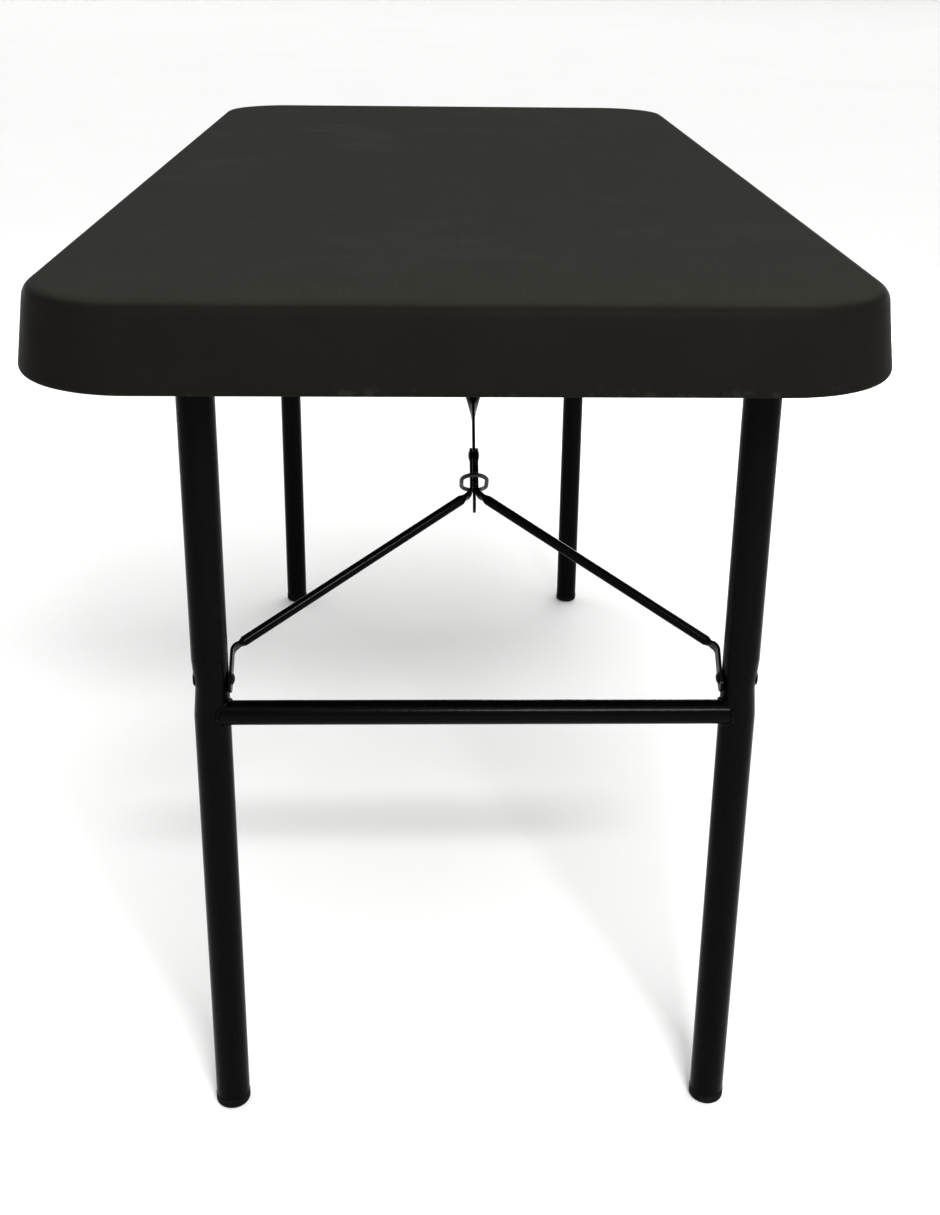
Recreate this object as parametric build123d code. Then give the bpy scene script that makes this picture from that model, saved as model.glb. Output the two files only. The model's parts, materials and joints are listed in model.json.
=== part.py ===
from build123d import *
import math
import os

# Folding table, opened and standing on the floor. Millimetres, X across the table,
# Y along it, Z up, origin on the floor under the middle of the top.
# The front end is at -Y. The rear end is the front end turned half a turn about Z,
# so left and right are as seen from the end that a piece belongs to.

# Overall size
LENGTH = 1220.0
WIDTH = 610.0
HEIGHT = 720.0

# Tabletop: one blow-moulded hollow panel with a flared skirt
SKIRT_DEPTH = 61.5
SKIRT_FLARE = 8.0
SKIRT_THICKNESS = 17.0
RECESS_DRAFT = 6.0
CORNER_RADIUS = 88.0
TOP_EDGE_RADIUS = 11.0
LIP_RADIUS = 4.0
DECK_THICKNESS = 27.0
SKIN = 3.0
DIMPLE_MOUTH_RADIUS = 12.0
DIMPLE_TIP_RADIUS = 5.0
DIMPLE_PITCH = 78.0
DIMPLES_ACROSS = 6
DIMPLES_ALONG = 14
DIMPLE_CLEARANCE = 36.0
BOSS_RADIUS = 8.0
BOSS_TAPER = 1.0

# Leg frame
LEG_DIAMETER = 28.0
LEG_WALL = 1.2
LEG_SPACING = 408.0
LEG_INSET = 98.0
FRAME_OFFSET = 16.5
FOLD_GAP = 3.0
CROSSBAR_HEIGHT = 377.0
CROSSBAR_DIAMETER = 19.0
CROSSBAR_WALL = 1.2
CROSSBAR_LAP = 8.0
PIVOT_BAR_DIAMETER = 25.0
PIVOT_BAR_WALL = 1.5
PIVOT_BAR_OVERHANG = 4.0
PLUG_DEPTH = 14.0
PLUG_FLANGE = 1.5
CRIMP_DEPTH = 2.0
CRIMP_LENGTH = 48.0
CRIMP_BELOW_RIVET = 6.0
CRIMP_BULGE = 0.4
FOOT_DIAMETER = 28.6
FOOT_HEIGHT = 27.0
FOOT_BASE = 9.0
FOOT_EDGE_RADIUS = 3.0
FOOT_RIM_RADIUS = 0.25

# Saddles that carry the pivot bar
RUNNING_CLEARANCE = 0.05
PLATE = 2.0
SADDLE_WIDTH = 26.0
SADDLE_FLANGE = 20.0
SADDLE_FROM_LEG = 38.0

# Screws into the tabletop
SCREW_SHANK_RADIUS = 2.1
SCREW_LENGTH = 14.0
SCREW_HEAD_RADIUS = 4.5
SCREW_HEAD_HEIGHT = 2.4
SCREW_HEAD_ROUND = 1.4

# Folding brace, seen square to its two arms
BRACE_RIVET_DROP = 272.0
BRACE_LENGTH = 191.5
STRUT_PIVOT_DROP = 1.0
ROD_DIAMETER = 8.0
ROD_FLAT = 2.0
ROD_FLAT_WIDTH = 12.0
ROD_SWAGE = 6.0
ROD_BEND_RADIUS = 7.0
ROD_BEND_RUN = 4.2
ROD_KNEE_RUN = 34.7
ROD_TAB_RUN = 24.2
ROD_TAB_END = 10.0
SIDE_GAP = 0.3
TAB_GAP = 0.4
KNEE_RIVET_RADIUS = 2.5
KNEE_HEAD_RADIUS = 5.0
KNEE_HEAD_HEIGHT = 1.2
LEG_RIVET_RADIUS = 3.0
LEG_HEAD_RADIUS = 5.5
LEG_HEAD_HEIGHT = 2.2
OUTER_HEAD_HEIGHT = 0.4
OUTER_HEAD_RIM = 0.3
OUTER_HEAD_BED = 2.0
TONGUE_THICKNESS = 2.2
TONGUE_WIDTH = 16.0
TONGUE_TAIL = 51.0
TONGUE_LENGTH = 35.0
TONGUE_TIP_RADIUS = 7.2
STRUT_SWAGE = 27.0
STRUT_DIAMETER = 16.0
STRUT_WALL = 1.2
STRUT_END = 8.0
STRUT_PIN_RADIUS = 3.0

# Bracket of the strut
BRACKET_GAP = 0.5
BRACKET_WIDTH = 22.0
BRACKET_EAR_DROP = 7.0
BRACKET_EAR_RADIUS = 6.6
BRACKET_FLANGE = 19.0

# Lock ring, a wire ring loose around the knee
RING_WIRE = 3.4
RING_INSIDE_WIDTH = 17.2
RING_INSIDE_HEIGHT = 26.0
RING_BELOW_KNEE = 25.0
RING_TRAVEL = 104.0

# Levels and pivots worked out from the sizes above
LIP_Z = HEIGHT - SKIRT_DEPTH
DECK_Z = HEIGHT - DECK_THICKNESS
LEG_RADIUS = LEG_DIAMETER / 2
PIVOT_Y = LEG_INSET - LENGTH / 2
PIVOT_Z = DECK_Z - FOLD_GAP - LEG_RADIUS
RIVET_Z = PIVOT_Z - BRACE_RIVET_DROP
STRUT_PIVOT_Z = PIVOT_Z - STRUT_PIVOT_DROP
CRIMP_Z = RIVET_Z - CRIMP_BELOW_RIVET
CRIMP_SLOPE = CRIMP_DEPTH / (CRIMP_LENGTH / 2)
RIVET_DENT = CRIMP_DEPTH - CRIMP_SLOPE * CRIMP_BELOW_RIVET
LEG_X = LEG_SPACING / 2

# The two arms of the brace are in line when it is open, and both lie flat under the
# deck when the leg frame has turned a quarter turn. Those two conditions fix the
# strut's length and the place of its pivot.
RISE = STRUT_PIVOT_Z - RIVET_Z
FLAT_REACH = math.sqrt(BRACE_LENGTH**2 - STRUT_PIVOT_DROP**2)
SLACK = BRACE_LENGTH + FLAT_REACH - BRACE_RIVET_DROP
RUN = (RISE**2 - SLACK**2) / (2 * SLACK)
STRUT_LENGTH = RUN - BRACE_RIVET_DROP + FLAT_REACH
STRUT_PIVOT_Y = PIVOT_Y + RUN
BRACE_ANGLE = math.degrees(math.atan2(RISE, RUN))
FOLD_ANGLE = 90.0
STRUT_SWING = BRACE_ANGLE
FOLDED_BRACE_ANGLE = math.degrees(math.asin(STRUT_PIVOT_DROP / BRACE_LENGTH))
KNEE_SWING = 180.0 + FOLDED_BRACE_ANGLE

# Planes of the front end: local Y runs up the brace, local Z stands square to it
PIVOT_LINE = Vector(FRAME_OFFSET, PIVOT_Y, PIVOT_Z)
RIVET_LINE = Vector(FRAME_OFFSET, PIVOT_Y, RIVET_Z)
STRUT_PIVOT = Vector(FRAME_OFFSET, STRUT_PIVOT_Y, STRUT_PIVOT_Z)
BRACE_UP = (STRUT_PIVOT - RIVET_LINE).normalized()
BRACE_NORMAL = Vector(1, 0, 0).cross(BRACE_UP)
KNEE = RIVET_LINE + BRACE_UP * BRACE_LENGTH
BRACE_FRAME = Plane(origin=RIVET_LINE, x_dir=(1, 0, 0), z_dir=BRACE_NORMAL)
KNEE_FRAME = Plane(origin=KNEE, x_dir=(1, 0, 0), z_dir=BRACE_NORMAL)

# Layers across the knee and at the legs
KNEE_PLATE_X = TONGUE_THICKNESS / 2 + SIDE_GAP + ROD_FLAT / 2
TAB_X = LEG_X - LEG_RADIUS - TAB_GAP - ROD_FLAT / 2
KNEE_HEAD_X = KNEE_PLATE_X + ROD_FLAT / 2

SIDES = {"left": -1, "right": 1}


def bar_along_x(radius, x_low, x_high, y, z):
    """A round bar along X."""
    face = Plane(origin=(x_low, y, z), x_dir=(0, 1, 0), z_dir=(1, 0, 0)) * Circle(radius)
    return extrude(face, x_high - x_low)


def tube_along_x(diameter, wall, x_low, x_high, y, z):
    """A round tube along X."""
    outside = bar_along_x(diameter / 2, x_low, x_high, y, z)
    return outside - bar_along_x(diameter / 2 - wall, x_low, x_high, y, z)


def domed_head(radius, height):
    """A rivet head standing on local XY: a flat disc with a domed top."""
    sphere_radius = (radius**2 + height**2) / (2 * height)
    ball = Pos(0, 0, height - sphere_radius) * Sphere(sphere_radius)
    return ball & (Pos(0, 0, height / 2) * Cylinder(radius, height))


def facing(x, y, z, side):
    """A place whose local Z points along X, outward on that side."""
    return Plane(origin=(x, y, z), x_dir=(0, 1, 0), z_dir=(side, 0, 0))


def screw(x, y, z_seat):
    """A pan-head screw driven upward, its head under z_seat."""
    head = Pos(x, y, z_seat - SCREW_HEAD_HEIGHT / 2) * Cylinder(SCREW_HEAD_RADIUS, SCREW_HEAD_HEIGHT)
    head = fillet(head.edges().group_by(Axis.Z)[0], SCREW_HEAD_ROUND)
    return head + screw_shank(x, y, z_seat)


def screw_shank(x, y, z_seat):
    """The threaded part of that screw."""
    return Pos(x, y, z_seat + SCREW_LENGTH / 2) * Cylinder(SCREW_SHANK_RADIUS, SCREW_LENGTH)


# Screw places of the front end
SADDLE_X = [FRAME_OFFSET + side * (LEG_X - SADDLE_FROM_LEG) for side in SIDES.values()]
SADDLE_SCREW_Y = PIVOT_BAR_DIAMETER / 2 + RUNNING_CLEARANCE + PLATE + SADDLE_FLANGE / 2
SADDLE_SCREWS = [(x, PIVOT_Y + turn * SADDLE_SCREW_Y) for x in SADDLE_X for turn in (-1, 1)]
EAR_X = STRUT_DIAMETER / 2 + BRACKET_GAP
BRACKET_SCREW_X = EAR_X + PLATE + BRACKET_FLANGE / 2
BRACKET_SCREWS = [(FRAME_OFFSET + side * BRACKET_SCREW_X, STRUT_PIVOT_Y) for side in SIDES.values()]
FRONT_SCREWS = SADDLE_SCREWS + BRACKET_SCREWS
ALL_SCREWS = FRONT_SCREWS + [(-x, -y) for x, y in FRONT_SCREWS]


def drafted_block(width, length, corner, z_low, z_high, draw_in):
    """A rounded rectangle at z_low that has drawn in on every side at z_high."""
    low = Plane.XY.offset(z_low) * RectangleRounded(width, length, corner)
    high = Plane.XY.offset(z_high) * RectangleRounded(
        width - 2 * draw_in, length - 2 * draw_in, corner - draw_in
    )
    return loft([low.face(), high.face()], ruled=True)


def cone_between(x, y, z_low, z_high, radius_low, radius_high):
    """An upright cone frustum."""
    height = z_high - z_low
    return Pos(x, y, (z_low + z_high) / 2) * Cone(radius_low, radius_high, height)


def dimple_places():
    """A regular grid of tack-offs that leaves room round every screw."""
    places = []
    for i in range(DIMPLES_ACROSS):
        for j in range(DIMPLES_ALONG):
            x = (i - (DIMPLES_ACROSS - 1) / 2) * DIMPLE_PITCH
            y = (j - (DIMPLES_ALONG - 1) / 2) * DIMPLE_PITCH
            if min(math.dist((x, y), place) for place in ALL_SCREWS) > DIMPLE_CLEARANCE:
                places.append((x, y))
    return places


def tabletop():
    """The hollow panel: outer skin, recess underneath, tack-offs and screw bosses."""
    outside = drafted_block(WIDTH, LENGTH, CORNER_RADIUS, LIP_Z, HEIGHT, SKIRT_FLARE)
    outside = fillet(outside.edges().group_by(Axis.Z)[-1], TOP_EDGE_RADIUS)
    outside = fillet(outside.edges().group_by(Axis.Z)[0], LIP_RADIUS)

    inset = 2 * SKIRT_THICKNESS
    recess = drafted_block(
        WIDTH - inset, LENGTH - inset, CORNER_RADIUS - SKIRT_THICKNESS, LIP_Z, DECK_Z, RECESS_DRAFT
    )
    recess = fillet(recess.edges().group_by(Axis.Z)[-1], LIP_RADIUS)

    hollow = drafted_block(
        WIDTH - 2 * SKIN, LENGTH - 2 * SKIN, CORNER_RADIUS - SKIN, LIP_Z + SKIN, HEIGHT - SKIN, SKIRT_FLARE
    )
    hollow = fillet(hollow.edges().group_by(Axis.Z)[-1], TOP_EDGE_RADIUS - SKIN)
    pan_inset = inset - 2 * SKIN
    pan_corner = CORNER_RADIUS - pan_inset / 2
    pan = drafted_block(
        WIDTH - pan_inset, LENGTH - pan_inset, pan_corner, LIP_Z, DECK_Z + SKIN, RECESS_DRAFT
    )
    pan = fillet(pan.edges().group_by(Axis.Z)[-1], LIP_RADIUS + SKIN)
    places = dimple_places()
    pillars = [
        cone_between(x, y, DECK_Z, HEIGHT - SKIN, DIMPLE_MOUTH_RADIUS + SKIN, DIMPLE_TIP_RADIUS + SKIN)
        for x, y in places
    ]
    pillars += [
        cone_between(x, y, DECK_Z, HEIGHT - SKIN, BOSS_RADIUS, BOSS_RADIUS - BOSS_TAPER)
        for x, y in ALL_SCREWS
    ]
    hollow = hollow - pan - pillars

    dimples = [
        cone_between(x, y, DECK_Z, HEIGHT - 2 * SKIN, DIMPLE_MOUTH_RADIUS, DIMPLE_TIP_RADIUS)
        for x, y in places
    ]
    pilot_holes = [screw_shank(x, y, DECK_Z - PLATE) for x, y in ALL_SCREWS]
    return outside - recess - hollow - dimples - pilot_holes


def leg_section(z, radius_x, radius_y, shift):
    """One elliptic section of a leg tube."""
    return (Plane.XY.offset(z) * Pos(shift, 0) * Ellipse(radius_x, radius_y)).face()


def leg_bar(radius, side):
    """A solid leg from foot to pivot, pressed in on its outer side at the brace rivet."""
    crimp_low = CRIMP_Z - CRIMP_LENGTH / 2
    crimp_high = CRIMP_Z + CRIMP_LENGTH / 2
    low = extrude(leg_section(FOOT_BASE, radius, radius, 0), crimp_low - FOOT_BASE)
    high = extrude(leg_section(crimp_high, radius, radius, 0), PIVOT_Z - crimp_high)
    waist = leg_section(CRIMP_Z, radius - CRIMP_DEPTH / 2, radius + CRIMP_BULGE, -side * CRIMP_DEPTH / 2)
    lower_taper = loft([leg_section(crimp_low, radius, radius, 0), waist])
    upper_taper = loft([waist, leg_section(crimp_high, radius, radius, 0)])
    return low + lower_taper + upper_taper + high


def leg(side):
    """One leg tube, its top coped to the pivot bar, drilled for the brace rivet."""
    x = FRAME_OFFSET + side * LEG_X
    tube = leg_bar(LEG_RADIUS, side) - leg_bar(LEG_RADIUS - LEG_WALL, side)
    tube = Pos(x, PIVOT_Y, 0) * tube
    cope = bar_along_x(PIVOT_BAR_DIAMETER / 2, x - LEG_DIAMETER, x + LEG_DIAMETER, PIVOT_Y, PIVOT_Z)
    drill = bar_along_x(LEG_RIVET_RADIUS, x - LEG_DIAMETER, x + LEG_DIAMETER, PIVOT_Y, RIVET_Z)
    return tube - cope - drill


def foot(side):
    """A plastic plug in the end of a leg: a stem inside the tube and a base flush with it."""
    base = Pos(0, 0, FOOT_BASE / 2) * Cylinder(FOOT_DIAMETER / 2, FOOT_BASE)
    base = fillet(base.edges().group_by(Axis.Z)[0], FOOT_EDGE_RADIUS)
    base = fillet(base.edges().group_by(Axis.Z)[-1], FOOT_RIM_RADIUS)
    stem_height = FOOT_HEIGHT - FOOT_BASE
    stem = Pos(0, 0, FOOT_BASE + stem_height / 2) * Cylinder(LEG_RADIUS - LEG_WALL, stem_height)
    return Pos(FRAME_OFFSET + side * LEG_X, PIVOT_Y, 0) * (base + stem)


def crossbar():
    """A tube welded across the legs, flush with their outward side, its ends coped."""
    reach = LEG_X - LEG_RADIUS + CROSSBAR_LAP
    y = PIVOT_Y - LEG_RADIUS + CROSSBAR_DIAMETER / 2
    bar = tube_along_x(
        CROSSBAR_DIAMETER, CROSSBAR_WALL, FRAME_OFFSET - reach, FRAME_OFFSET + reach, y, CROSSBAR_HEIGHT
    )
    for side in SIDES.values():
        bar -= Pos(FRAME_OFFSET + side * LEG_X, PIVOT_Y, 0) * leg_bar(LEG_RADIUS, side)
    return bar


PIVOT_BAR_REACH = LEG_X + LEG_RADIUS + PIVOT_BAR_OVERHANG


def pivot_bar():
    """The tube across the leg tops that turns in the saddles."""
    return tube_along_x(
        PIVOT_BAR_DIAMETER,
        PIVOT_BAR_WALL,
        FRAME_OFFSET - PIVOT_BAR_REACH,
        FRAME_OFFSET + PIVOT_BAR_REACH,
        PIVOT_Y,
        PIVOT_Z,
    )


def bar_plugs():
    """Plastic plugs that close the two ends of the pivot bar."""
    plugs = []
    for side in SIDES.values():
        end = FRAME_OFFSET + side * PIVOT_BAR_REACH
        inner, outer = end - side * PLUG_DEPTH, end + side * PLUG_FLANGE
        stem = bar_along_x(
            PIVOT_BAR_DIAMETER / 2 - PIVOT_BAR_WALL, min(inner, end), max(inner, end), PIVOT_Y, PIVOT_Z
        )
        rim = bar_along_x(PIVOT_BAR_DIAMETER / 2, min(end, outer), max(end, outer), PIVOT_Y, PIVOT_Z)
        plugs.append(stem + rim)
    return plugs


def leg_rivets():
    """The brace rivets: a domed head bedded on each crimp, the shank through to the inner side."""
    rivets = []
    for side in SIDES.values():
        leg_x = FRAME_OFFSET + side * LEG_X
        seat = leg_x + side * (LEG_RADIUS - RIVET_DENT)
        inner = leg_x - side * LEG_RADIUS
        slope = Plane(origin=(seat, PIVOT_Y, RIVET_Z), x_dir=(0, 1, 0), z_dir=(side, 0, -CRIMP_SLOPE))
        bed = slope.offset(-OUTER_HEAD_BED) * Circle(LEG_HEAD_RADIUS)
        head = extrude(bed, OUTER_HEAD_BED + OUTER_HEAD_RIM)
        head += slope.offset(OUTER_HEAD_RIM) * domed_head(LEG_HEAD_RADIUS, OUTER_HEAD_HEIGHT)
        drill = bar_along_x(LEG_RIVET_RADIUS, leg_x - LEG_DIAMETER, leg_x + LEG_DIAMETER, PIVOT_Y, RIVET_Z)
        head -= Pos(leg_x, PIVOT_Y, 0) * leg_bar(LEG_RADIUS, side) - drill
        outer = seat - side * OUTER_HEAD_BED / 2
        shank = bar_along_x(LEG_RIVET_RADIUS, min(inner, outer), max(inner, outer), PIVOT_Y, RIVET_Z)
        rivets.append(head + shank)
    return rivets


def saddle(side):
    """A pressed strap round the underside of the pivot bar with a flange each way."""
    x_low = FRAME_OFFSET + side * (LEG_X - SADDLE_FROM_LEG) - SADDLE_WIDTH / 2
    bore = PIVOT_BAR_DIAMETER / 2 + RUNNING_CLEARANCE
    rise = DECK_Z - PIVOT_Z
    cheek = Pos(0, rise / 2) * Rectangle(2 * (bore + PLATE), rise)
    flanges = Pos(0, rise - PLATE / 2) * Rectangle(2 * (bore + PLATE + SADDLE_FLANGE), PLATE)
    opening = Pos(0, rise / 2) * Rectangle(2 * bore, rise)
    profile = Circle(bore + PLATE) + cheek + flanges - Circle(bore) - opening
    strap = extrude(
        Plane(origin=(x_low, PIVOT_Y, PIVOT_Z), x_dir=(0, 1, 0), z_dir=(1, 0, 0)) * profile, SADDLE_WIDTH
    )
    for x, y in SADDLE_SCREWS:
        strap -= screw_shank(x, y, DECK_Z - PLATE)
    return strap


def saddle_screws():
    """The four screws of both saddles."""
    return [screw(x, y, DECK_Z - PLATE) for x, y in SADDLE_SCREWS]


def strut_bracket():
    """A folded bracket under the deck: two ears for the pin and a flange each way."""
    plate_z = DECK_Z - PLATE / 2
    reach = EAR_X + PLATE + BRACKET_FLANGE
    body = Pos(FRAME_OFFSET, STRUT_PIVOT_Y, plate_z) * Box(2 * reach, BRACKET_WIDTH, PLATE)
    ear_low = STRUT_PIVOT_Z - BRACKET_EAR_DROP
    ear_box = Box(PLATE, 2 * BRACKET_EAR_DROP, DECK_Z - ear_low)
    for side in SIDES.values():
        ear_x = FRAME_OFFSET + side * (EAR_X + PLATE / 2)
        ear = Pos(ear_x, STRUT_PIVOT_Y, (ear_low + DECK_Z) / 2) * ear_box
        corners = ear.edges().filter_by(Axis.X).group_by(Axis.Z)[0]
        body += fillet(corners, BRACKET_EAR_RADIUS)
    for x, y in BRACKET_SCREWS:
        body -= screw_shank(x, y, DECK_Z - PLATE)
    reach_pin = EAR_X + 2 * PLATE
    return body - bar_along_x(
        STRUT_PIN_RADIUS, FRAME_OFFSET - reach_pin, FRAME_OFFSET + reach_pin, STRUT_PIVOT_Y, STRUT_PIVOT_Z
    )


def bracket_screws():
    """The two screws of the strut bracket."""
    return [screw(x, y, DECK_Z - PLATE) for x, y in BRACKET_SCREWS]


def strut_pin():
    """The rivet on which the strut swings, headed at both ends."""
    half = EAR_X + PLATE
    pin = bar_along_x(
        STRUT_PIN_RADIUS, FRAME_OFFSET - half, FRAME_OFFSET + half, STRUT_PIVOT_Y, STRUT_PIVOT_Z
    )
    for side in SIDES.values():
        place = facing(FRAME_OFFSET + side * half, STRUT_PIVOT_Y, STRUT_PIVOT_Z, side)
        pin += place * domed_head(LEG_HEAD_RADIUS, LEG_HEAD_HEIGHT)
    return pin


def bent_flat(start, corner, towards):
    """A flat strip that runs from start to a bend and a little way on, in local XY."""
    heading = (towards - corner).normalized()
    path = FilletPolyline(start, corner, corner + heading * ROD_BEND_RUN, radius=ROD_BEND_RADIUS)
    return extrude(trace(path, ROD_FLAT), ROD_FLAT_WIDTH / 2, both=True)


def square_section(centre, heading, shape):
    """A shape square to a heading in local XY, its width along local Z."""
    return (Plane(origin=centre, x_dir=(0, 0, 1), z_dir=heading) * shape).face()


def brace_rod(side):
    """A tube flattened at both ends: against the tongue at the knee, against a leg below."""
    knee_bend = Vector(KNEE_PLATE_X, BRACE_LENGTH - ROD_KNEE_RUN, 0)
    tab_bend = Vector(TAB_X, ROD_TAB_RUN, 0)
    knee_end = Vector(KNEE_PLATE_X, BRACE_LENGTH, 0)
    tab_end = Vector(TAB_X, 0, 0)
    down = (tab_bend - knee_bend).normalized()

    rod = bent_flat(knee_end, knee_bend, tab_bend) + bent_flat(tab_end, tab_bend, knee_bend)
    flat = Rectangle(ROD_FLAT_WIDTH, ROD_FLAT)
    round_start = knee_bend + down * (ROD_BEND_RUN + ROD_SWAGE)
    round_end = tab_bend - down * (ROD_BEND_RUN + ROD_SWAGE)
    circle = Circle(ROD_DIAMETER / 2)
    rod += loft(
        [
            square_section(knee_bend + down * ROD_BEND_RUN, down, flat),
            square_section(round_start, down, circle),
        ]
    )
    rod += extrude(square_section(round_start, down, circle), (round_end - round_start).length)
    rod += loft(
        [square_section(round_end, down, circle), square_section(tab_bend - down * ROD_BEND_RUN, down, flat)]
    )
    along_x = Plane(origin=knee_end - Vector(ROD_FLAT / 2, 0, 0), x_dir=(0, 1, 0), z_dir=(1, 0, 0))
    rod += extrude(along_x * Circle(ROD_FLAT_WIDTH / 2), ROD_FLAT)
    rod -= extrude(along_x * Circle(KNEE_RIVET_RADIUS), ROD_FLAT)
    tab_plane = Plane(origin=tab_end - Vector(ROD_FLAT / 2, 0, 0), x_dir=(0, 1, 0), z_dir=(1, 0, 0))
    tab_shape = SlotCenterToCenter(ROD_TAB_END, ROD_FLAT_WIDTH)
    rod += extrude(tab_plane * tab_shape, ROD_FLAT)
    rod -= extrude(tab_plane * Circle(LEG_RIVET_RADIUS), ROD_FLAT)
    if side < 0:
        rod = mirror(rod, about=Plane.YZ)
    return BRACE_FRAME * rod


def rivet_caps():
    """The ends of the brace rivets on the inner side of the rods' lower tabs."""
    caps = []
    for side in SIDES.values():
        inner = FRAME_OFFSET + side * (TAB_X - ROD_FLAT / 2)
        outer = FRAME_OFFSET + side * (TAB_X + ROD_FLAT / 2)
        head = facing(inner, PIVOT_Y, RIVET_Z, -side) * domed_head(LEG_HEAD_RADIUS, LEG_HEAD_HEIGHT)
        shank = bar_along_x(LEG_RIVET_RADIUS, min(inner, outer), max(inner, outer), PIVOT_Y, RIVET_Z)
        caps.append(head + shank)
    return caps


def knee_rivet():
    """The rivet through both rods and the tongue between them."""
    rivet = bar_along_x(
        KNEE_RIVET_RADIUS, FRAME_OFFSET - KNEE_HEAD_X, FRAME_OFFSET + KNEE_HEAD_X, KNEE.Y, KNEE.Z
    )
    for side in SIDES.values():
        place = facing(FRAME_OFFSET + side * KNEE_HEAD_X, KNEE.Y, KNEE.Z, side)
        rivet += place * domed_head(KNEE_HEAD_RADIUS, KNEE_HEAD_HEIGHT)
    return rivet


def strut():
    """A tube from the bracket down to a flattened tongue that runs on past the knee."""
    flat_run = TONGUE_TAIL + TONGUE_LENGTH
    side_view = Plane.YZ * Pos((TONGUE_LENGTH - TONGUE_TAIL) / 2, 0) * Rectangle(flat_run, TONGUE_WIDTH)
    tail_corners = side_view.vertices().group_by(Axis.Y)[0]
    side_view = fillet(tail_corners, TONGUE_TIP_RADIUS)
    body = extrude(side_view, TONGUE_THICKNESS / 2, both=True)
    up = Vector(0, 1, 0)
    tube_start = Vector(0, TONGUE_LENGTH + STRUT_SWAGE, 0)
    circle = Circle(STRUT_DIAMETER / 2)
    body += loft(
        [
            square_section(Vector(0, TONGUE_LENGTH, 0), up, Rectangle(TONGUE_WIDTH, TONGUE_THICKNESS)),
            square_section(tube_start, up, circle),
        ]
    )
    tube_run = STRUT_LENGTH + STRUT_END - tube_start.Y
    body += extrude(square_section(tube_start, up, circle), tube_run)
    body -= extrude(square_section(tube_start, up, Circle(STRUT_DIAMETER / 2 - STRUT_WALL)), tube_run)
    body -= bar_along_x(KNEE_RIVET_RADIUS + RUNNING_CLEARANCE, -TONGUE_WIDTH, TONGUE_WIDTH, 0, 0)
    body -= bar_along_x(
        STRUT_PIN_RADIUS + RUNNING_CLEARANCE, -STRUT_DIAMETER, STRUT_DIAMETER, STRUT_LENGTH, 0
    )
    return KNEE_FRAME * body


def lock_ring():
    """A ring of round wire with straight flanks, loose around tongue and rods."""
    half_width = (RING_INSIDE_WIDTH + RING_WIRE) / 2
    flank = (RING_INSIDE_HEIGHT - RING_INSIDE_WIDTH) / 2
    right = Line((half_width, 0, -flank), (half_width, 0, flank))
    crown = ThreePointArc((half_width, 0, flank), (0, 0, flank + half_width), (-half_width, 0, flank))
    left = Line((-half_width, 0, flank), (-half_width, 0, -flank))
    sole = ThreePointArc((-half_width, 0, -flank), (0, 0, -flank - half_width), (half_width, 0, -flank))
    section = Plane(origin=(half_width, 0, -flank), z_dir=(0, 0, 1)) * Circle(RING_WIRE / 2)
    ring = sweep(section, path=right + crown + left + sole)
    return KNEE_FRAME * Pos(0, -RING_BELOW_KNEE, 0) * ring


def front_end():
    """Every piece of the front end by name: a solid, or a list of like solids."""
    pieces = {
        "crossbar": crossbar(),
        "pivot_bar": pivot_bar(),
        "bar_plugs": bar_plugs(),
        "leg_rivets": leg_rivets(),
        "saddle_screws": saddle_screws(),
        "strut_bracket": strut_bracket(),
        "bracket_screws": bracket_screws(),
        "strut_pin": strut_pin(),
        "rivet_caps": rivet_caps(),
        "knee_rivet": knee_rivet(),
        "strut": strut(),
        "lock_ring": lock_ring(),
    }
    for name, side in SIDES.items():
        pieces["leg_" + name] = leg(side)
        pieces["foot_" + name] = foot(side)
        pieces["saddle_" + name] = saddle(side)
        pieces["brace_rod_" + name] = brace_rod(side)
    return pieces


def as_node(piece):
    """One solid as it is, several like solids as one group."""
    if isinstance(piece, list):
        return Compound(children=[solid for part in piece for solid in part.solids()])
    return piece


def main():
    os.makedirs("parts", exist_ok=True)
    export_step(tabletop(), "parts/tabletop.step")
    half_turn = Rot(0, 0, 180)
    for name, piece in front_end().items():
        node = as_node(piece)
        export_step(node, f"parts/front_{name}.step")
        export_step(half_turn * node, f"parts/rear_{name}.step")


main()
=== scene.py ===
# %% [markdown]
# # A black folding table
# The solids of this table come from a CAD model: a blow-moulded top, two tubular leg
# frames, and a ring-locked brace at each end. This lesson gives them their looks. Most
# solids keep their own mesh and get a finish. The moulded top and the weld beads are
# modelled here, because their soft forms are what a CAD solid leaves out.

# %% Load the frame
import json
import math

import bmesh
import bpy
from mathutils import Matrix, Vector


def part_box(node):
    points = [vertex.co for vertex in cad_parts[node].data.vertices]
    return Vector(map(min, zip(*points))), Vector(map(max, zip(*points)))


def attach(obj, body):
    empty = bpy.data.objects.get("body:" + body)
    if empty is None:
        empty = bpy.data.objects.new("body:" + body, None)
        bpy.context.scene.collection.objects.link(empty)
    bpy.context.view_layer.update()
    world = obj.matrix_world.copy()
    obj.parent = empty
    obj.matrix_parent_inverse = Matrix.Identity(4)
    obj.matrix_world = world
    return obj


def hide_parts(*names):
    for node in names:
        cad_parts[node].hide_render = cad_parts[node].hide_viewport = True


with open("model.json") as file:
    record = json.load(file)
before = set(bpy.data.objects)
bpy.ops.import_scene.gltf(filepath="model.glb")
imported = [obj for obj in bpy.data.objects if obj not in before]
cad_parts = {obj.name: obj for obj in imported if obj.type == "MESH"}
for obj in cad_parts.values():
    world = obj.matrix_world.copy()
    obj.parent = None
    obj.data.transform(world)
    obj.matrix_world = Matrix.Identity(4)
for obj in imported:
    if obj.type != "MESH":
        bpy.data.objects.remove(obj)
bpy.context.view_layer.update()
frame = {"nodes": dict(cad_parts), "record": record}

scene = bpy.context.scene
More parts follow.
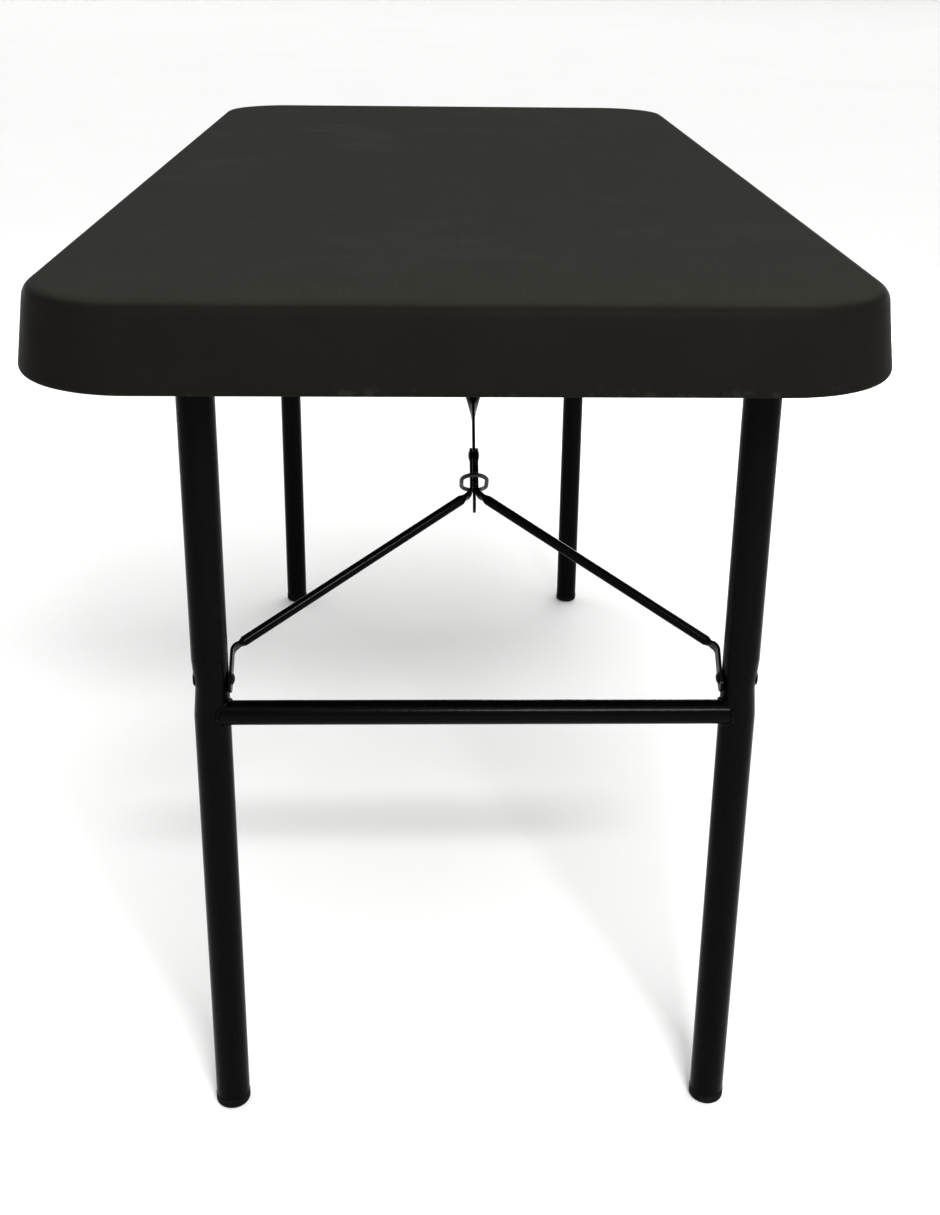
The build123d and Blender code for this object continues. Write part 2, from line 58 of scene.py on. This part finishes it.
MM = 0.001
print("nodes:", len(frame["nodes"]))

# %% [markdown]
# ## The camera
# The photograph looks at the short end of the table from a little above, about 20
# degrees down. The place and the lens follow from the edges of the top and the legs:
# parallel edges meet in vanishing points, and those fix the angles. The picture is
# upright, so its height takes the width of the sensor. Its optical centre lies above its
# middle, so the camera gets that much vertical shift.

# %% Camera
IMAGE_HEIGHT = 1215
FOCAL_PIXELS = 1467.4
OPTICAL_CENTRE_Y = 477.2
SENSOR_WIDTH = 36.0
CAMERA_PLACE = Vector((-0.01955, -1.52145, 0.93677))
PITCH, YAW, ROLL = (math.radians(a) for a in (20.02, 1.66, 0.67))

ahead = Vector((math.sin(YAW) * math.cos(PITCH), math.cos(YAW) * math.cos(PITCH), -math.sin(PITCH)))
level = Vector((math.cos(YAW), -math.sin(YAW), 0.0))
upright = level.cross(ahead)
right = level * math.cos(ROLL) + upright * math.sin(ROLL)
up = upright * math.cos(ROLL) - level * math.sin(ROLL)

lens = bpy.data.cameras.new("photo_camera")
lens.sensor_width = SENSOR_WIDTH
lens.lens = FOCAL_PIXELS / IMAGE_HEIGHT * SENSOR_WIDTH
lens.shift_y = (OPTICAL_CENTRE_Y - IMAGE_HEIGHT / 2) / IMAGE_HEIGHT
camera = bpy.data.objects.new("photo_camera", lens)
camera.matrix_world = Matrix.Translation(CAMERA_PLACE) @ Matrix((right, up, -ahead)).transposed().to_4x4()
scene.collection.objects.link(camera)
scene.camera = camera
print("lens", round(lens.lens, 2), "mm, shift", round(lens.shift_y, 4))

# %% [markdown]
# ## Shader sums
# A finish is a sum of patterns, and sums read best as sums. This small class holds one
# node socket. Adding or multiplying two of them adds a Math node behind the scenes, and
# its one method adds any other node. Numbers that stay the same all over a surface are
# set on the shader itself.

# %% A socket that can be calculated with
class Pattern:
    """A node socket in a Python sum."""

    def __init__(self, socket):
        self.socket = socket
        self.tree = socket.id_data

    def node(self, kind, settings, inputs, output=0):
        """Any node: its settings first, then values or links for its sockets."""
        made = self.tree.nodes.new(kind)
        for name, value in settings.items():
            setattr(made, name, value)
        for key, value in inputs.items():
            if isinstance(value, Pattern):
                self.tree.links.new(value.socket, made.inputs[key])
            else:
                made.inputs[key].default_value = value
        return Pattern(made.outputs[output])

    def maths(self, operation, first, second):
        return self.node("ShaderNodeMath", {"operation": operation}, {0: first, 1: second})

    def __add__(self, other):
        return self.maths("ADD", self, other)

    def __sub__(self, other):
        return self.maths("SUBTRACT", self, other)

    def __rsub__(self, other):
        return self.maths("SUBTRACT", other, self)

    def __mul__(self, other):
        return self.maths("MULTIPLY", self, other)

    __radd__ = __add__
    __rmul__ = __mul__


print("sums: add, subtract, multiply")


# %% A new finish
def new_finish(name):
    """A material with one Principled shader, and the place on the piece as a pattern."""
    material = bpy.data.materials.new(name)
    material.use_nodes = True
    tree = material.node_tree
    place = tree.nodes.new("ShaderNodeTexCoord").outputs["Object"]
    return material, Pattern(place), tree.nodes["Principled BSDF"]


def set_shader(shader, **sockets):
    """Links or sets the shader's sockets; Base_Color stands for Base Color."""
    for name, value in sockets.items():
        socket = shader.inputs[name.replace("_", " ")]
        if isinstance(value, Pattern):
            value.tree.links.new(value.socket, socket)
        else:
            socket.default_value = value


print("finish helpers: new_finish, set_shader")


# %% Patterns that a finish is made of
def height_of(place):
    """How high a point is above the floor, in metres."""
    return place.node("ShaderNodeSeparateXYZ", {}, {"Vector": place}, "Z")


def speckle(place, size, detail, roughness):
    """Noise whose spots are about that many metres across, from 0 to 1."""
    return place.node("ShaderNodeTexNoise", {}, {
        "Vector": place, "Scale": 1.0 / size, "Detail": detail, "Roughness": roughness})


def band(pattern, low, high):
    """0 below low, 1 above high, smooth between."""
    return pattern.node("ShaderNodeMapRange", {"interpolation_type": "SMOOTHSTEP"}, {
        "Value": pattern, "From Min": low, "From Max": high})


def mix_colour(share, first, second):
    """From the first colour to the second."""
    return share.node("ShaderNodeMix", {"data_type": "RGBA"}, {
        "Factor": share, "A": first, "B": second}, "Result")


def bump(height, depth, strength):
    """A normal from a height pattern; depth is in metres."""
    return height.node("ShaderNodeBump", {}, {
        "Height": height, "Distance": depth, "Strength": strength})


print("pattern helpers: height_of, speckle, band, mix_colour, bump")

# %% [markdown]
# ## Moulded plastic
# The top is black polyethylene. The mould is etched, so the skin has a fine even pebble
# that breaks up the gloss. Dust and wiping leave the table surface a little greyer and
# lighter than the skirt. Its colour is also painted lighter still: painted light that
# stands for the stronger light falling on the flat top. Years of use rub the rounded edge
# a little smoother, leave faint patches, a few hair scratches and nicks, and scuff the lip
# that the table is carried by. The pebble is noise in a bump, and the rubbing mostly moves
# roughness.

# %% Patterns of the top
top_low, top_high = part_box("tabletop")
TABLE_LEVEL, LIP_LEVEL = top_high.z, top_low.z
EDGE_RADIUS = 11 * MM
SCRATCH_TURN = (0.0, 0.0, 0.5)
SCRATCH_STRETCH = (9.0, 0.35, 1.0)
moulded, place, shader = new_finish("moulded_black_plastic")
height = height_of(place)
pebble = speckle(place, 1.7 * MM, 3.0, 0.55)
mottle = speckle(place, 55 * MM, 3.0, 0.6)
rubbed = band(speckle(place, 170 * MM, 4.0, 0.62), 0.52, 0.72)
above_skirt = band(height, TABLE_LEVEL - EDGE_RADIUS, TABLE_LEVEL - 4 * MM)
on_surface = band(height, TABLE_LEVEL - 3 * MM, TABLE_LEVEL - 0.1 * MM)
edge_rub = above_skirt * (1.0 - on_surface)
near_lip = 1.0 - band(height, LIP_LEVEL + 1 * MM, LIP_LEVEL + 9 * MM)
lip_scuff = near_lip * band(speckle(place, 11 * MM, 5.0, 0.68), 0.55, 0.63)
# Mask of the table surface: it is painted lighter there, for dust and as painted light, and the hair
# scratches fall there.
dust_and_light = band(height, TABLE_LEVEL - 4 * MM, TABLE_LEVEL - 0.2 * MM)
stretched = place.node("ShaderNodeMapping", {}, {
    "Vector": place, "Rotation": SCRATCH_TURN, "Scale": SCRATCH_STRETCH})
hairline = band(speckle(stretched, 20 * MM, 2.0, 0.5), 0.69, 0.73) * dust_and_light
nick = band(speckle(place, 14 * MM, 2.0, 0.5), 0.735, 0.76) * (1.0 - dust_and_light)
print("table surface at", round(TABLE_LEVEL, 4), "m, lip at", round(LIP_LEVEL, 4), "m")

# %% Finish of the top
DEEP_BLACK = (0.0092, 0.0084, 0.0066, 1.0)
FADED_BLACK = (0.0125, 0.0114, 0.0089, 1.0)
# Lighter grey of the table surface: dust, and painted light for the stronger light on the flat top.
DUST_AND_LIGHT_BLACK = (0.0290, 0.0292, 0.0239, 1.0)
SCRATCHED_BLACK = (0.05, 0.05, 0.046, 1.0)
skin = mix_colour(mottle, DEEP_BLACK, FADED_BLACK)
# Painted light as well as dust: the table surface is mixed towards the lighter grey, as if more light
# fell on it than on the skirt.
dust_and_light_skin = mix_colour(dust_and_light * 0.7 + dust_and_light * mottle * 0.3, skin, DUST_AND_LIGHT_BLACK)
set_shader(
    shader,
    Base_Color=mix_colour(hairline * 0.25 + lip_scuff * 0.3, dust_and_light_skin, SCRATCHED_BLACK),
    Roughness=0.58 + pebble * 0.12 - rubbed * 0.06 - edge_rub * 0.08 - hairline * 0.06 + lip_scuff * 0.1,
    Specular_IOR_Level=0.05,
    Normal=bump(pebble + mottle * 0.25 - hairline * 0.3 - nick * 1.5, 0.22 * MM, 0.75),
)
print("finish:", moulded.name)

# %% [markdown]
# ## Powder coat
# The tubes are sprayed with black powder and baked. The film flows a little before it
# sets, which leaves a faint orange peel, and it is glossier than the plastic. Dust lies
# in a thin uneven veil, and shows most where it moves the roughness. Near the floor,
# where legs are kicked and dragged, the film has small chips.

# %% Finish of the tubes
COAT_BLACK = (0.0012, 0.0012, 0.0014, 1.0)
VEILED_BLACK = (0.0030, 0.0029, 0.0030, 1.0)
CHIPPED_GREY = (0.03, 0.029, 0.028, 1.0)
coated, place, shader = new_finish("black_powder_coat")
peel = speckle(place, 4.2 * MM, 1.0, 0.4)
grit = speckle(place, 0.9 * MM, 2.0, 0.5)
veil = speckle(place, 60 * MM, 3.0, 0.6)
kicked = 1.0 - band(height_of(place), 20 * MM, 160 * MM)
chip = band(speckle(place, 6 * MM, 3.0, 0.6), 0.70, 0.72) * kicked
set_shader(
    shader,
    Base_Color=mix_colour(chip, mix_colour(veil, COAT_BLACK, VEILED_BLACK), CHIPPED_GREY),
    Roughness=0.17 + veil * 0.08 + grit * 0.04 + chip * 0.25,
    Specular_IOR_Level=0.06,
    Normal=bump(peel + grit * 0.25 - chip * 0.6, 0.16 * MM, 0.6),
)
print("finish:", coated.name)

# %% [markdown]
# ## Foot plugs, zinc screws and the ring's wire
# The foot plugs are a softer, duller plastic than the top, scuffed towards the floor.
# Screws and the strut's pin are zinc plated: bright, with cloudy spangles. The lock
# ring is drawn wire with a dark plating. The drawing leaves a fine grain, and the plating
# is worn lighter in patches.

# %% Finish of the foot plugs
PLUG_BLACK = (0.0035, 0.0035, 0.0035, 1.0)
SCUFFED_PLUG = (0.016, 0.0155, 0.0145, 1.0)
plug_plastic, place, shader = new_finish("foot_plug_plastic")
near_floor = 1.0 - band(height_of(place), 2 * MM, 14 * MM)
scuff = near_floor * band(speckle(place, 4 * MM, 3.0, 0.6), 0.45, 0.62)
plug_grain = speckle(place, 1.2 * MM, 2.0, 0.5)
set_shader(
    shader,
    Base_Color=mix_colour(scuff, PLUG_BLACK, SCUFFED_PLUG),
    Roughness=0.5 + plug_grain * 0.1 + scuff * 0.2,
    Specular_IOR_Level=0.07,
    Normal=bump(plug_grain, 0.15 * MM, 0.6),
)
print("finish:", plug_plastic.name)

# %% Finish of the screws and pins
DULL_ZINC = (0.40, 0.40, 0.385, 1.0)
BRIGHT_ZINC = (0.56, 0.565, 0.56, 1.0)
zinc, place, shader = new_finish("zinc_plate")
cloud = speckle(place, 2.8 * MM, 3.0, 0.6)
set_shader(
    shader,
    Base_Color=mix_colour(cloud, DULL_ZINC, BRIGHT_ZINC),
    Metallic=1.0,
    Roughness=0.28 + cloud * 0.2,
    Normal=bump(cloud, 0.08 * MM, 0.5),
)
print("finish:", zinc.name)

# %% Finish of the ring's wire
DARK_PLATING = (0.05, 0.05, 0.05, 1.0)
WORN_PLATING = (0.16, 0.158, 0.15, 1.0)
plated_wire, place, shader = new_finish("dark_plated_wire")
drawn = speckle(place, 1.1 * MM, 2.0, 0.5)
worn = band(speckle(place, 7 * MM, 2.0, 0.5), 0.5, 0.7)
set_shader(
    shader,
    Base_Color=mix_colour(worn, DARK_PLATING, WORN_PLATING),
    Metallic=0.85,
    Roughness=0.3 + drawn * 0.15,
    Normal=bump(drawn, 0.06 * MM, 0.5),
)
print("finish:", plated_wire.name)

# %% Give every solid its finish
FINISH_OF_SLOT = {
    "moulded_top": moulded,
    "painted_tube": coated,
    "zinc_fasteners": zinc,
    "foot_plastic": plug_plastic,
    "ring_wire": plated_wire,
}
for row in frame["record"]["subparts"]:
    solid = frame["nodes"][row["node"]]
    for slot in solid.material_slots:
        slot.material = FINISH_OF_SLOT[row["material_slot"]]

# %% [markdown]
# ## The moulded top
# The real top is blown in one piece: plastic swells against the mould, so no edge on it
# is sharp. It could be a bevelled slab, but then the skirt would be upright and every
# edge equally round. Here the outline starts as a thin block with bevelled corners. Its
# upper face is then inset again and again along the section of the skirt: a long flared
# run, then a quarter round onto the table surface. The lower face does the same
# downwards, round the lip and up into the recess. A narrow flat rim before each big face
# keeps the smooth shading of the round off it.

# %% Section of the skirt and the edge
BLOCK_HEIGHT = 1 * MM
SKIRT_FLARE = 8 * MM
LIP_RADIUS = 4 * MM
# The round lip lies this far inside the foot of the skirt's straight run
LIP_TRIM = 0.6 * MM
# The skirt leans in, so its quarter round reaches less far than the radius
EDGE_REACH = 0.875 * EDGE_RADIUS
EDGE_STEPS = 10
SURFACE_RIM = 6 * MM
OUTLINE_LEVEL = LIP_LEVEL + LIP_RADIUS


def arc(centre_across, centre_up, radius, start, end, steps):
    """Points on a circle as (across, up); at 0 degrees across is least, at 90 up is greatest."""
    turns = [math.radians(start + (end - start) * i / steps) for i in range(steps + 1)]
    return [(centre_across - radius * math.cos(a), centre_up + radius * math.sin(a)) for a in turns]


flare_angle = math.degrees(math.atan2(SKIRT_FLARE, TABLE_LEVEL - LIP_LEVEL))
edge_in = SKIRT_FLARE - LIP_TRIM + EDGE_REACH
upper_section = [(0.0, OUTLINE_LEVEL + BLOCK_HEIGHT)]
upper_section += arc(edge_in, TABLE_LEVEL - EDGE_RADIUS, EDGE_RADIUS, flare_angle, 90, EDGE_STEPS)
upper_section += [(edge_in + SURFACE_RIM, TABLE_LEVEL)]
print("section points above the outline:", len(upper_section))

# %% Section of the lip, the recess wall and the deck
SKIRT_THICKNESS = 17 * MM
RECESS_DRAFT = 6 * MM
DECK_THICKNESS = 27 * MM
DECK_ROUND_REACH = 3.2 * MM
DECK_RIM = 4 * MM
ROUND_STEPS = 6
# Points of the soft inner edge of the lip, across and up from its corner
INNER_LIP_MM = [(-2.2, 0.0), (-0.7, 0.6), (0.3, 2.2)]
DECK_LEVEL = TABLE_LEVEL - DECK_THICKNESS
inner = SKIRT_THICKNESS - LIP_TRIM
deck_in = inner + RECESS_DRAFT + DECK_ROUND_REACH
draft_angle = math.degrees(math.atan2(RECESS_DRAFT, DECK_LEVEL - LIP_LEVEL))
lower_section = [(0.0, OUTLINE_LEVEL)]
lower_section += arc(LIP_RADIUS, OUTLINE_LEVEL, LIP_RADIUS, 0, -90, ROUND_STEPS)[1:]
lower_section += [(inner + across * MM, LIP_LEVEL + rise * MM) for across, rise in INNER_LIP_MM]
lower_section += arc(deck_in, DECK_LEVEL - LIP_RADIUS, LIP_RADIUS, draft_angle, 90, ROUND_STEPS)
lower_section += [(deck_in + DECK_RIM, DECK_LEVEL)]
print("section points below the outline:", len(lower_section))

# %% Block with round corners
CORNER_RADIUS = 87.4 * MM
CORNER_SEGMENTS = 24
top = bmesh.new()
middle = (top_low + top_high) / 2
middle.z = OUTLINE_LEVEL + BLOCK_HEIGHT / 2
size = Matrix.Diagonal((top_high.x - top_low.x, top_high.y - top_low.y, BLOCK_HEIGHT, 1.0))
bmesh.ops.create_cube(top, size=1.0, matrix=Matrix.Translation(middle) @ size)
corners = [e for e in top.edges if abs(e.verts[0].co.z - e.verts[1].co.z) > BLOCK_HEIGHT / 2]
bmesh.ops.bevel(
    top, geom=corners, offset=CORNER_RADIUS, offset_type="OFFSET", affect="EDGES",
    segments=CORNER_SEGMENTS, profile=0.5, material=-1)
print("outline points:", len(top.verts) // 2)


# %% Draw the section round the outline by insets
def follow_section(mesh, face, section, facing):
    """Insets a face from one point of the section to the next; facing is +1 up, -1 down."""
    for (in_a, up_a), (in_b, up_b) in zip(section, section[1:]):
        bmesh.ops.inset_region(
            mesh, faces=[face], thickness=in_b - in_a, depth=facing * (up_b - up_a), use_even_offset=True)


def facing_z(mesh, sign):
    """The large face that looks straight up or straight down."""
    return max(mesh.faces, key=lambda f: sign * f.normal.z * f.calc_area())


top.normal_update()
follow_section(top, facing_z(top, 1), upper_section, 1)
follow_section(top, facing_z(top, -1), lower_section, -1)
top.normal_update()
deck = facing_z(top, -1)
print("deck level", round(deck.calc_center_median().z, 4), "faces", len(top.faces))

# %% [markdown]
# ## Tack-offs
# A hollow top this thin would flex, so the mould pushes a field of cones up from the
# deck until they fuse to the table skin. From below they show as rows of round dimples.
# The deck is opened, one ring is drawn for each dimple, the flat between the rings is
# filled, and each ring is extruded upwards and narrowed into a cup. Dimples that would
# meet a screw are left out, as on the mould.

# %% Places of the screws
SADDLE_SCREW_IN = 10 * MM
BRACKET_SCREW_IN = 9.5 * MM
screw_places = []
for end in ("front", "rear"):
    for side in ("left", "right"):
        low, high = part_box(f"{end}_saddle_{side}")
        x = (low.x + high.x) / 2
        screw_places += [(x, low.y + SADDLE_SCREW_IN), (x, high.y - SADDLE_SCREW_IN)]
    low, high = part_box(f"{end}_strut_bracket")
    y = (low.y + high.y) / 2
    screw_places += [(low.x + BRACKET_SCREW_IN, y), (high.x - BRACKET_SCREW_IN, y)]
print("screws:", len(screw_places))

# %% Places of the dimples
DIMPLE_PITCH = 78 * MM
DIMPLES_ACROSS = 6
DIMPLES_ALONG = 14
SCREW_ROOM = 36 * MM
middle_column, middle_row = (DIMPLES_ACROSS - 1) / 2, (DIMPLES_ALONG - 1) / 2
dimple_places = []
for column in range(DIMPLES_ACROSS):
    for row in range(DIMPLES_ALONG):
        spot = ((column - middle_column) * DIMPLE_PITCH, (row - middle_row) * DIMPLE_PITCH)
        if min(math.dist(spot, screw) for screw in screw_places) > SCREW_ROOM:
            dimple_places.append(spot)
print("dimples:", len(dimple_places))

# %% Open the deck round the dimples
DIMPLE_SEGMENTS = 24
DIMPLE_RIM_MM = 15.0


def edges_of(ring):
    """The edges of a circle that bmesh has just made."""
    return list({e for v in ring["verts"] for e in v.link_edges})


deck_edges = list(deck.edges)
bmesh.ops.delete(top, geom=[deck], context="FACES_ONLY")
rings = []
for x, y in dimple_places:
    rings.append(edges_of(bmesh.ops.create_circle(
        top, cap_ends=False, radius=DIMPLE_RIM_MM * MM, segments=DIMPLE_SEGMENTS,
        matrix=Matrix.Translation((x, y, DECK_LEVEL)))))
bmesh.ops.triangle_fill(
    top, edges=deck_edges + [e for ring in rings for e in ring], use_beauty=True, use_dissolve=False,
    normal=(0.0, 0.0, -1.0))
print("faces round the open dimples:", len(top.faces))


# %% Press the dimples
def grow_ring(mesh, ring, centre, scale, level):
    """Extrudes a ring of edges, scales it about its centre and puts it at a level."""
    grown = bmesh.ops.extrude_edge_only(mesh, edges=ring)["geom"]
    points = [g for g in grown if isinstance(g, bmesh.types.BMVert)]
    about = Matrix.Translation((-centre[0], -centre[1], 0.0))
    bmesh.ops.scale(mesh, vec=(scale, scale, 1.0), space=about, verts=points)
    for point in points:
        point.co.z = level
    return [g for g in grown if isinstance(g, bmesh.types.BMEdge) and g.is_boundary]


# Radius and rise of each ring of a dimple
DIMPLE_STEPS_MM = [(13.4, 0.0), (12.5, 0.5), (11.8, 1.5), (6.6, 17.5), (5.4, 19.6), (3.4, 20.6)]
for spot, ring in zip(dimple_places, rings):
    radius = DIMPLE_RIM_MM
    for next_radius, rise in DIMPLE_STEPS_MM:
        ring = grow_ring(top, ring, spot, next_radius / radius, DECK_LEVEL + rise * MM)
        radius = next_radius
    bmesh.ops.contextual_create(top, geom=ring)
bmesh.ops.recalc_face_normals(top, faces=top.faces)
print("faces with dimples:", len(top.faces))


# %% Turn a bmesh into a piece
def finish_piece(mesh, name, body, material, sharp_angle):
    """Writes a bmesh to an object at the origin, shades it smooth and ties it to a body."""
    data = bpy.data.meshes.new(name)
    mesh.to_mesh(data)
    mesh.free()
    data.shade_smooth()
    data.set_sharp_from_angle(angle=math.radians(sharp_angle))
    data.materials.append(material)
    piece = bpy.data.objects.new(name, data)
    scene.collection.objects.link(piece)
    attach(piece, body)
    print(name, "faces:", len(data.polygons))
    return piece


moulded_panel = finish_piece(top, "moulded_panel", "top", moulded, sharp_angle=40.0)
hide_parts("tabletop")

# %% [markdown]
# ## Weld beads
# The crossbar meets each leg in a weld, and so does the pivot bar at the top of the leg.
# A bead is a soft rope of metal that follows the line where two round tubes meet, with a
# ripple for every pulse of the welder. A small circle is spun round the tube that ends
# there into a ring, and each point of the ring is then slid along that tube until it lies
# on the other one. The ripple swells the ring a little, and so does a slower wave, because
# a hand's pace wanders.

# %% A bead round a tube that runs into another tube
BEAD_RADIUS = 1.7 * MM
BEAD_SEGMENTS = 8
RIPPLES = 22
STEPS_PER_RIPPLE = 4
RIPPLE_SWELL = 0.16
WANDER_SWELL = 0.08
WANDERS = 5
WANDER_START = 8


def chord(radius, offset):
    """How far a round tube's surface is from its axis, seen that far off the axis."""
    return math.sqrt(max(radius**2 - offset**2, 0.0))


def weld_bead(mesh, centre, along, across, tube_radius, other_radius, other_offset, least):
    """Adds a ring round a tube that ends on another one.

    other_offset is the step in Y from the other tube's axis to this one's, and each point
    slides along the tube by at least the distance least.
    """
    turn = along.cross(across)
    section = Matrix((across, along, turn)).transposed().to_4x4()
    start = Matrix.Translation(centre + across * tube_radius)
    before = set(mesh.verts)
    ring = bmesh.ops.create_circle(
        mesh, cap_ends=False, radius=BEAD_RADIUS, segments=BEAD_SEGMENTS, matrix=start @ section)
    bmesh.ops.spin(
        mesh, geom=ring["verts"] + edges_of(ring), cent=centre, axis=along, angle=math.tau,
        steps=RIPPLES * STEPS_PER_RIPPLE, use_merge=True, use_duplicate=False)
    for point in [v for v in mesh.verts if v not in before]:
        offset = point.co - centre
        flat = offset - along * offset.dot(along)
        angle = math.atan2(flat.dot(turn), flat.dot(across))
        on_tube = flat.normalized() * tube_radius
        swell = 1.0 + RIPPLE_SWELL * math.cos(RIPPLES * angle)
        swell += WANDER_SWELL * math.sin(WANDERS * angle + WANDER_START)
        slide = max(chord(other_radius, on_tube.y + other_offset), least)
        point.co = centre + on_tube + (offset - on_tube) * swell + along * slide


print("steps in a bead:", RIPPLES * STEPS_PER_RIPPLE)

# %% The beads of both leg frames
CROSSBAR_LAP = 8 * MM
FORWARD = Vector((0.0, -1.0, 0.0))
SIDEWAYS = Vector((1.0, 0.0, 0.0))
DOWN = Vector((0.0, 0.0, -1.0))
for end in ("front", "rear"):
    beads = bmesh.new()
    bar_low, bar_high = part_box(f"{end}_crossbar")
    pivot_low, pivot_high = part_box(f"{end}_pivot_bar")
    bar, pivot = (bar_low + bar_high) / 2, (pivot_low + pivot_high) / 2
    bar_radius, pivot_radius = (bar_high.z - bar_low.z) / 2, (pivot_high.z - pivot_low.z) / 2
    for side in ("left", "right"):
        leg_low, leg_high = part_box(f"{end}_leg_{side}")
        leg, leg_radius = (leg_low + leg_high) / 2, (leg_high.x - leg_low.x) / 2
        inward = Vector((math.copysign(1.0, bar.x - leg.x), 0.0, 0.0))
        weld_bead(
            beads, Vector((leg.x, bar.y, bar.z)), inward, FORWARD, bar_radius, leg_radius,
            other_offset=bar.y - leg.y, least=leg_radius - CROSSBAR_LAP)
        weld_bead(
            beads, Vector((leg.x, leg.y, pivot.z)), DOWN, SIDEWAYS, leg_radius, pivot_radius,
            other_offset=0.0, least=0.0)
    bmesh.ops.remove_doubles(beads, verts=beads.verts, dist=0.01 * MM)
    bmesh.ops.recalc_face_normals(beads, faces=beads.faces)
    finish_piece(beads, f"{end}_weld_beads", f"{end}_legs", coated, sharp_angle=60.0)

# %% [markdown]
# ## Floor and light
# A pale floor sweeps up into a wall a long way off, as paper does in a studio, so that no
# hard horizon stands behind the table. A flat plane would do for one view only. Most of
# the light comes from above: a sun lamp with a very wide angle acts as a big diffuser
# overhead, a little to the right and behind, so that the table surface is lighter than
# the skirt. A black tube shows only by what it reflects, so a strip box in front, above
# and to the right draws the thin line along the crossbar and the soft rim on the near
# edge. A weak box on the right lets the skirt fade towards the left. Three low boxes
# behind and beside the table, lower than its top, light the other skirts and the legs and
# leave the table surface alone. The tone curve is a little deeper than plain, as in a print.

# %% Floor
FLOOR_RADIUS = 32.0
FLOOR_SEGMENTS = 96
SWEEP_RADIUS = 10.0
SWEEP_STEPS = 16
WALL_TOP = 18.0
floor_mesh = bmesh.new()
rim = edges_of(bmesh.ops.create_circle(
    floor_mesh, cap_ends=True, radius=FLOOR_RADIUS, segments=FLOOR_SEGMENTS))
sweep = arc(FLOOR_RADIUS, SWEEP_RADIUS, SWEEP_RADIUS, -90, -180, SWEEP_STEPS)[1:]
reach = FLOOR_RADIUS
for next_reach, rise in sweep + [(FLOOR_RADIUS + SWEEP_RADIUS, WALL_TOP)]:
    rim = grow_ring(floor_mesh, rim, (0.0, 0.0), next_reach / reach, rise)
    reach = next_reach
floor_data = bpy.data.meshes.new("floor")
floor_mesh.to_mesh(floor_data)
floor_mesh.free()
floor_data.shade_smooth()
floor = bpy.data.objects.new("floor", floor_data)
scene.collection.objects.link(floor)
print("floor faces:", len(floor_data.polygons))

# %% Finish of the floor
PALE = (0.89, 0.89, 0.885, 1.0)
PALER = (0.92, 0.92, 0.915, 1.0)
CLOUD_SIZE = 0.8
pale_floor, place, shader = new_finish("pale_floor")
set_shader(
    shader,
    Base_Color=mix_colour(speckle(place, CLOUD_SIZE, 2.0, 0.5), PALE, PALER),
    Roughness=0.9,
    Specular_IOR_Level=0.1,
)
floor_data.materials.append(pale_floor)
print("finish:", pale_floor.name)


# %% Soft boxes
def soft_box(name, place, aim, width, height, power):
    """A rectangular lamp that faces a point."""
    lamp = bpy.data.lights.new(name, "AREA")
    lamp.shape = "RECTANGLE"
    lamp.size, lamp.size_y = width, height
    lamp.energy = power
    box = bpy.data.objects.new(name, lamp)
    box.location = place
    box.rotation_euler = (Vector(aim) - Vector(place)).to_track_quat("-Z", "Y").to_euler()
    box.visible_camera = False
    scene.collection.objects.link(box)


soft_box("strip_box", (0.42, -2.19, 1.84), (0.1, -0.526, 0.377), width=0.7, height=0.2, power=48.0)
soft_box("front_box", (1.3, -1.9, 1.0), (0.1, -0.6, 0.69), width=0.9, height=0.9, power=4.0)
soft_box("back_box", (0.9, 2.6, 0.42), (0.1, 0.6, 0.5), width=1.6, height=0.5, power=30.0)
soft_box("left_box", (-2.2, 2.4, 0.42), (-0.3, 0.5, 0.6), width=1.4, height=0.5, power=14.0)
soft_box("right_box", (2.2, 2.4, 0.42), (0.3, 0.5, 0.6), width=1.4, height=0.5, power=14.0)

# %% Overhead light and tone
DOME_POWER = 2.75
DOME_ANGLE = math.radians(100)
DOME_TILT = (math.radians(-4), math.radians(8), 0.0)
STUDIO_WHITE = (1.0, 1.0, 1.0, 1.0)
STUDIO_STRENGTH = 0.12
TONE_GAMMA = 0.82
dome_lamp = bpy.data.lights.new("dome_light", "SUN")
dome_lamp.energy = DOME_POWER
dome_lamp.angle = DOME_ANGLE
dome = bpy.data.objects.new("dome_light", dome_lamp)
dome.rotation_euler = DOME_TILT
scene.collection.objects.link(dome)
world = bpy.data.worlds.new("studio")
world.use_nodes = True
background = world.node_tree.nodes["Background"]
background.inputs["Color"].default_value = STUDIO_WHITE
background.inputs["Strength"].default_value = STUDIO_STRENGTH
scene.world = world
scene.view_settings.view_transform = "Standard"
scene.view_settings.gamma = TONE_GAMMA
print("overhead light:", dome.name)
